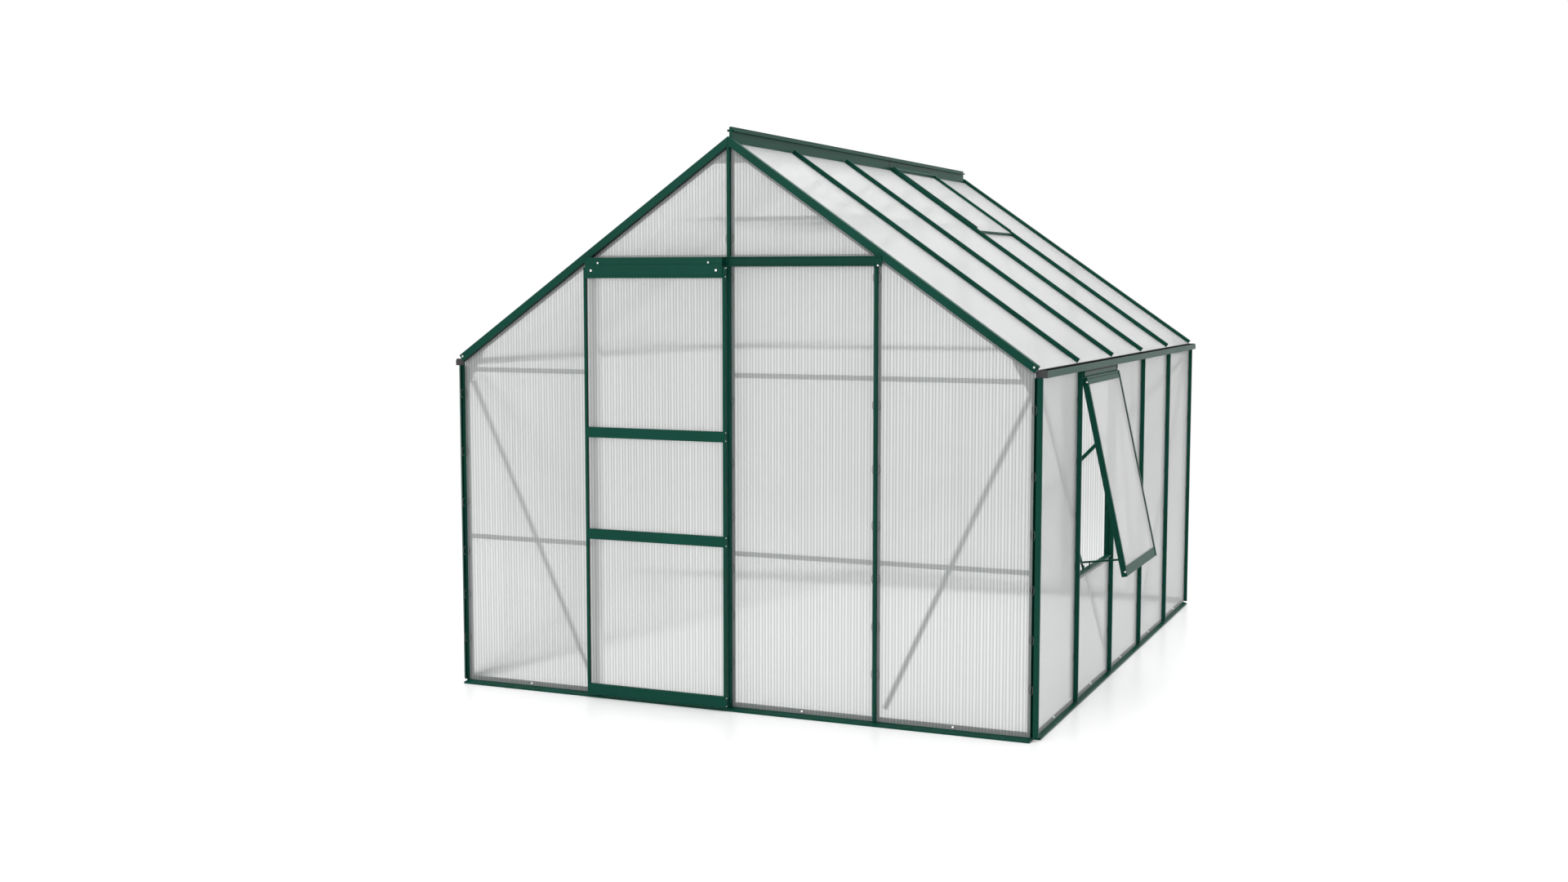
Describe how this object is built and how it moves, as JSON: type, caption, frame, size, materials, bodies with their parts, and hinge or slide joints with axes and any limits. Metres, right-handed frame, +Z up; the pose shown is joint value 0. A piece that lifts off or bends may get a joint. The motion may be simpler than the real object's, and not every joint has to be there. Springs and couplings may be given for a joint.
{
  "type": "polycarbonate greenhouse",
  "caption": "Gabled greenhouse with a slim green metal frame, translucent twin-wall sheets, a sliding door, a side window propped open and a roof vent.",
  "frame": {"origin": "on the ground under the middle of the front gable's outer face, on the front sill's underside", "axes": "+X to the right along the door gable, +Y from the door gable to the back gable, +Z up"},
  "size_m": [2.7788, 3.181, 2.35],
  "materials": {
    "frame_green": "satin powder-coated aluminium in dark green",
    "sheet": "translucent twin-wall polycarbonate",
    "cap_plastic": "moulded dark grey plastic",
    "roller_plastic": "black nylon"
  },
  "bodies": {
    "house": {"front_sill": "frame_green", "back_sill": "frame_green", "left_sill": "frame_green", "right_sill": "frame_green", "corner_posts": "frame_green", "front_posts": "frame_green", "back_posts": "frame_green", "left_wall_bars": "frame_green", "right_wall_bars": "frame_green", "front_rafters": "frame_green", "back_rafters": "frame_green", "left_roof_bars": "frame_green", "right_roof_bars": "frame_green", "ridge_beam": "frame_green", "left_gutter": "frame_green", "right_gutter": "frame_green", "gutter_end_caps": "cap_plastic", "door_track": "frame_green", "front_header": "frame_green", "front_rails": "frame_green", "back_rail": "frame_green", "front_braces": "frame_green", "back_braces": "frame_green", "left_wall_braces": "frame_green", "right_wall_braces": "frame_green", "roof_ties": "frame_green", "gusset_plates": "frame_green", "front_sheets": "sheet", "gable_top_sheets": "sheet", "back_sheets": "sheet", "left_wall_sheets": "sheet", "right_wall_sheets": "sheet", "left_roof_sheets": "sheet", "right_roof_sheets": "sheet", "window_frame": "frame_green", "window_sash": "frame_green", "window_sheet": "sheet", "window_stay": "frame_green", "vent_frame": "frame_green", "vent_sheet": "sheet"},
    "door": {"door_stiles": "frame_green", "door_rails": "frame_green", "door_top_plate": "frame_green", "door_sheets": "sheet", "door_rollers": "roller_plastic"}
  },
  "joints": [
    {"name": "door_slide", "type": "slide", "parent": "house", "child": "door", "axis": [1, 0, 0], "range_m": [0, 0.6]}
  ]
}
